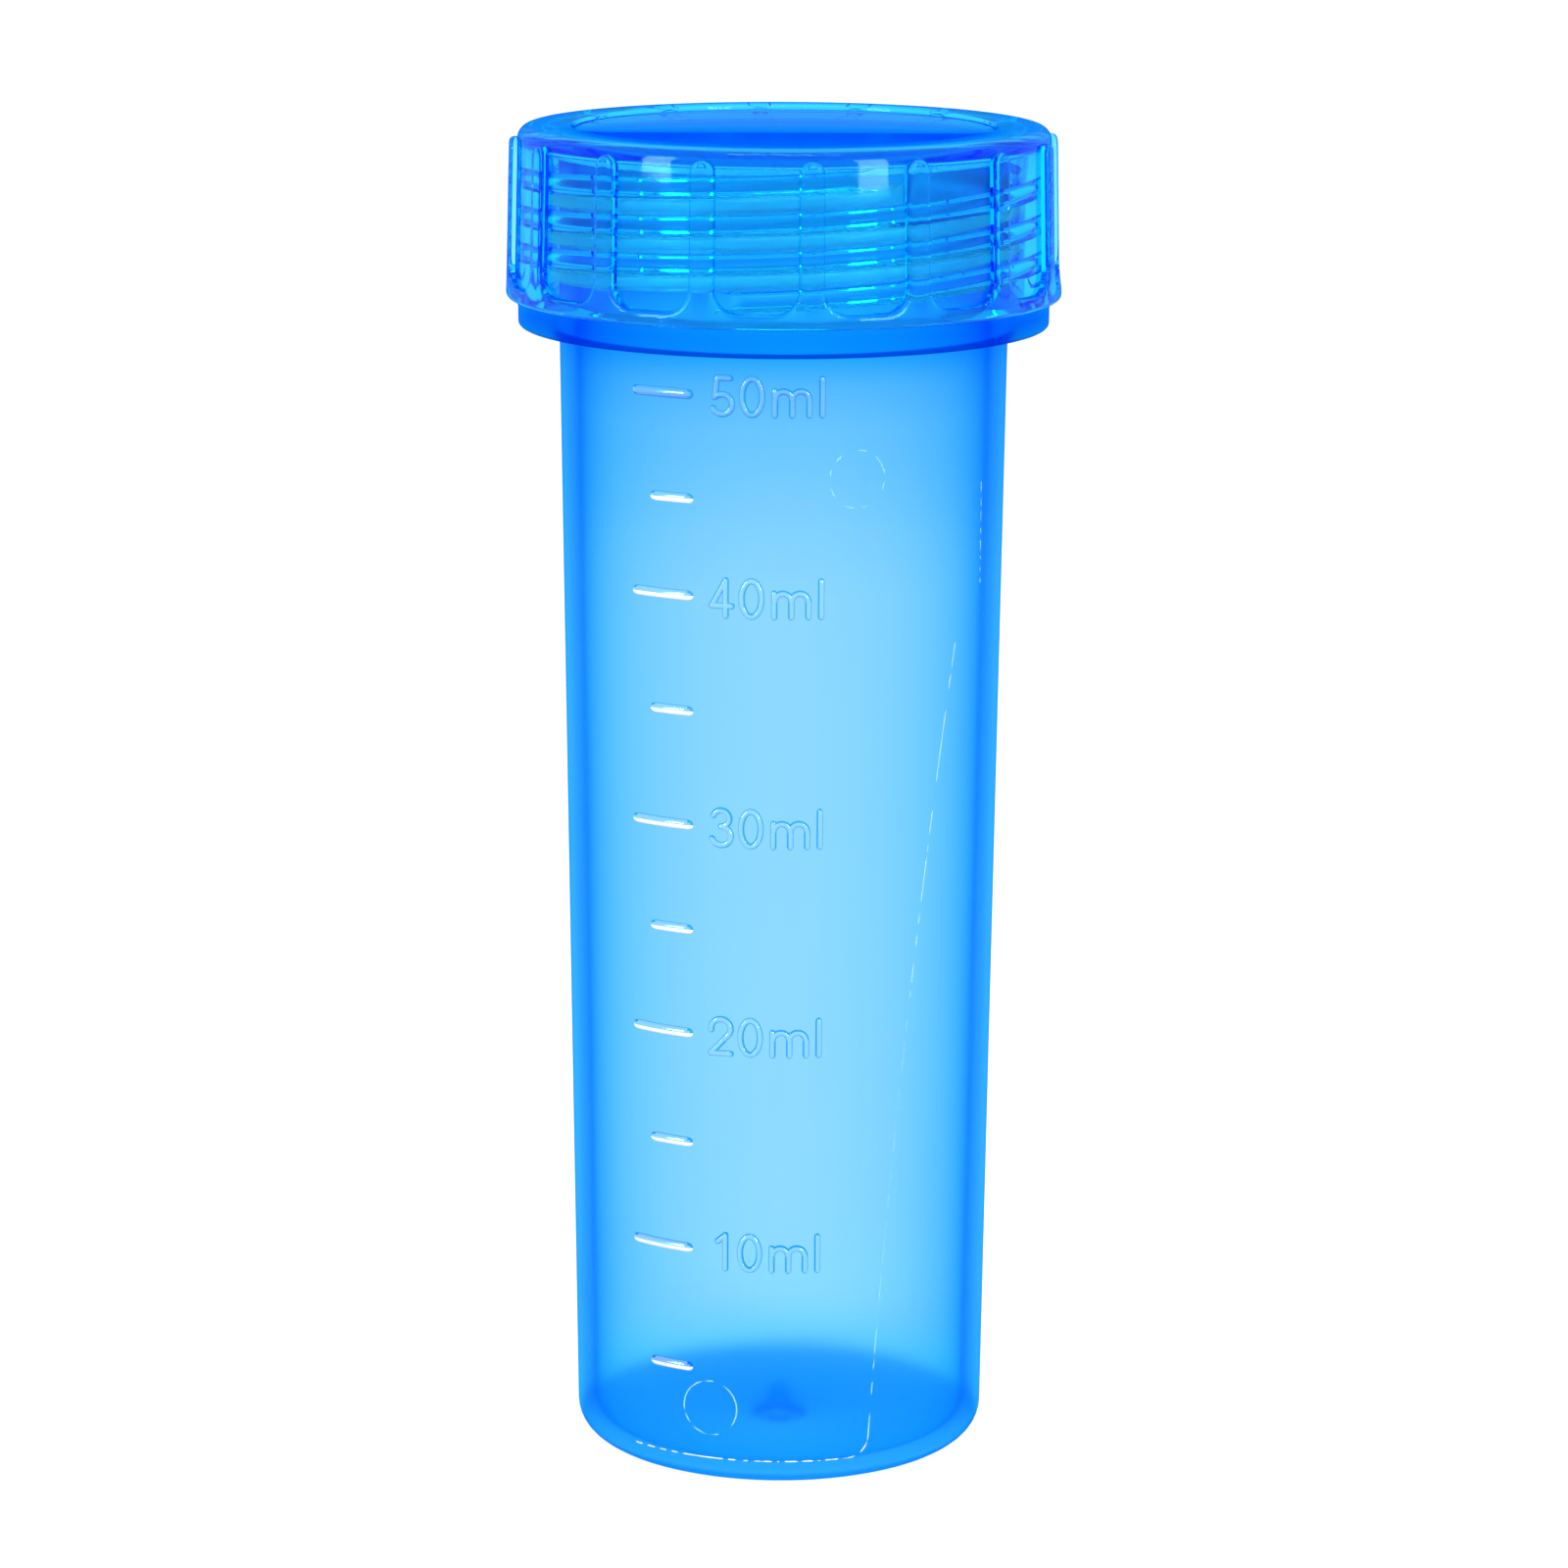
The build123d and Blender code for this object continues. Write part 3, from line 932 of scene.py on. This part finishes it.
studio = {
    "floorSize": 12,
    "floorDrop": 0.02 * mm,
    "worldLevel": 0.65,  # what diffuse light sees; 1 is white
    "paper": (0.3, 0.3, 0.3, 1),
    "paperRoughness": 0.9,
    "paperGloss": 0.1,
    "paperLift": 0.83,
    "softboxes": {  # place, size, power
        "overheadSoftbox": ((0, -0.1, 0.9), (0.4, 0.08), 2.5),
        "leftSoftbox": ((-0.65, -0.45, 0.3), (0.2, 0.4), 6),
        "rightSoftbox": ((0.5, -0.65, 0.3), (0.2, 0.4), 6),
    },
    "aim": (0, 0, 0.06),
    "bounces": 32,
    "glossyBounces": 16,
}

deselectAll()
bpy.ops.mesh.primitive_plane_add(size=studio["floorSize"], location=(0, 0, -studio["floorDrop"]))
floor = bpy.context.object
floor.name = "studioFloor"


def seenDirectly(nodes, links):  # 1 for camera, glossy and transmission rays
    path = nodes.new("ShaderNodeLightPath")
    total = None
    for name in ("Is Camera Ray", "Is Glossy Ray", "Is Transmission Ray"):
        if total is None:
            total = path.outputs[name]
            continue
        add = nodes.new("ShaderNodeMath")
        add.operation = "MAXIMUM"
        links.new(total, add.inputs[0])
        links.new(path.outputs[name], add.inputs[1])
        total = add.outputs[0]
    return total


paper, nodes, links = newMaterial("studioPaper")
shader = nodes["Principled BSDF"]
shader.inputs["Base Color"].default_value = studio["paper"]
shader.inputs["Roughness"].default_value = studio["paperRoughness"]
shader.inputs["Specular IOR Level"].default_value = studio["paperGloss"]
shader.inputs["Emission Color"].default_value = (1, 1, 1, 1)
lift = nodes.new("ShaderNodeMath")
lift.operation = "MULTIPLY"
links.new(seenDirectly(nodes, links), lift.inputs[0])
lift.inputs[1].default_value = studio["paperLift"]
links.new(lift.outputs[0], shader.inputs["Emission Strength"])
setMaterial(floor, paper)

world = bpy.data.worlds.new("studioWorld")
world.use_nodes = True
bpy.context.scene.world = world
nodes, links = world.node_tree.nodes, world.node_tree.links
level = nodes.new("ShaderNodeMapRange")
links.new(seenDirectly(nodes, links), level.inputs["Value"])
level.inputs["To Min"].default_value = studio["worldLevel"]
level.inputs["To Max"].default_value = 1
nodes["Background"].inputs["Color"].default_value = (1, 1, 1, 1)
links.new(level.outputs["Result"], nodes["Background"].inputs["Strength"])


def addSoftbox(name, place, size, power):
    lamp = bpy.data.lights.new(name, "AREA")
    lamp.shape = "RECTANGLE"
    lamp.size, lamp.size_y = size
    lamp.energy = power
    softbox = bpy.data.objects.new(name, lamp)
    bpy.context.scene.collection.objects.link(softbox)
    softbox.location = place
    aim = Vector(studio["aim"]) - Vector(place)
    softbox.rotation_euler = aim.to_track_quat("-Z", "Y").to_euler()


for name, settings in studio["softboxes"].items():
    addSoftbox(name, *settings)

view = {
    "place": (0, -0.3809, 0.1339),
    "down": 12.506,  # degrees
    "roll": 0.25,
    "lens": 121.15,
    "sensor": 36,
    "shift": 0.0015,
    "clipStart": 0.01,
}
lens = bpy.data.cameras.new("camera")
camera = bpy.data.objects.new("camera", lens)
bpy.context.scene.collection.objects.link(camera)
bpy.context.scene.camera = camera
camera.location = view["place"]
camera.rotation_euler = (math.radians(90 - view["down"]), 0, 0)
lens.lens = view["lens"]
lens.sensor_width = view["sensor"]
lens.shift_x = view["shift"]
lens.clip_start = view["clipStart"]
bpy.context.view_layer.update()
camera.matrix_world = camera.matrix_world @ Matrix.Rotation(math.radians(view["roll"]), 4, "Z")

bpy.context.scene.view_settings.view_transform = "Standard"
cycles = bpy.context.scene.cycles
cycles.max_bounces = cycles.transmission_bounces = studio["bounces"]
cycles.glossy_bounces = studio["glossyBounces"]
print("studio set")
